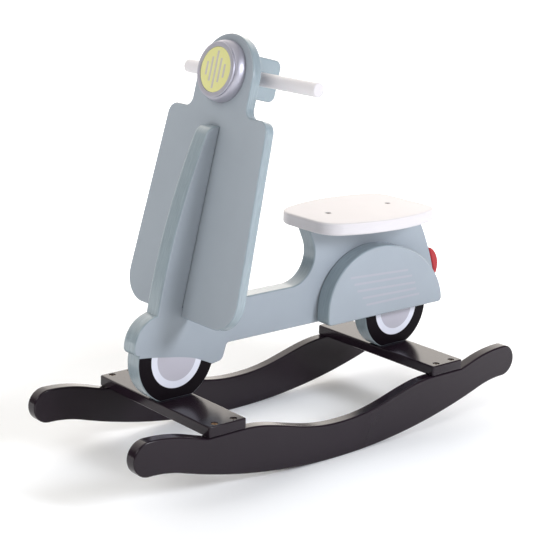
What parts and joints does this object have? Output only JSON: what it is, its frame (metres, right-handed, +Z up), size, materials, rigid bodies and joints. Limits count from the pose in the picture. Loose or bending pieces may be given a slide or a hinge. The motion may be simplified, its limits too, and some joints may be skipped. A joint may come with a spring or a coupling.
{
  "type": "rocking scooter toy",
  "caption": "Child's rocking toy shaped like an upright scooter: board-cut body, leg shield, handlebar, headlamp and seat on two curved rockers.",
  "frame": {"origin": "on the floor, at the centre of the part's bounding box: midway between the rockers and between their tips", "axes": "+Z up, the scooter faces -Y, its left side is +X"},
  "size_m": [0.29, 0.7558, 0.6171],
  "materials": {
    "blue_lacquer": "satin grey-blue lacquer on board",
    "black_lacquer": "satin black lacquer on board",
    "white_lacquer": "satin white lacquer",
    "red_lacquer": "satin red lacquer",
    "silver_lacquer": "satin silver",
    "yellow_lens": "satin yellow print",
    "screw_steel": "zinc-plated",
    "beech_dowel": "bare beech"
  },
  "bodies": {
    "root": {"block_screw_1": "screw_steel", "block_screw_2": "screw_steel", "centre_board": "blue_lacquer", "cowl_dowel_1": "beech_dowel", "cowl_dowel_2": "beech_dowel", "cowl_dowel_3": "beech_dowel", "cowl_left": "blue_lacquer", "cowl_right": "blue_lacquer", "handlebar_block": "blue_lacquer", "handlebar_lock_screw": "screw_steel", "handlebar_rod": "white_lacquer", "headlamp_dowel_1": "beech_dowel", "headlamp_dowel_2": "beech_dowel", "headlamp_lens": "yellow_lens", "headlamp_ring": "silver_lacquer", "leg_shield": "blue_lacquer", "plate_front": "black_lacquer", "plate_rear": "black_lacquer", "plate_screw_1": "screw_steel", "plate_screw_2": "screw_steel", "plate_screw_3": "screw_steel", "plate_screw_4": "screw_steel", "plate_screw_5": "screw_steel", "plate_screw_6": "screw_steel", "plate_screw_7": "screw_steel", "plate_screw_8": "screw_steel", "rocker_left": "black_lacquer", "rocker_right": "black_lacquer", "seat_board": "white_lacquer", "seat_bolt_1": "screw_steel", "seat_bolt_2": "screw_steel", "seat_insert_1": "screw_steel", "seat_insert_2": "screw_steel", "shield_screw_1": "screw_steel", "shield_screw_2": "screw_steel", "shield_screw_3": "screw_steel", "tail_lamp": "red_lacquer", "tail_lamp_dowel": "beech_dowel", "wheel_screw_1": "screw_steel", "wheel_screw_2": "screw_steel", "wheel_screw_3": "screw_steel", "wheel_screw_4": "screw_steel"}
  },
  "joints": []
}
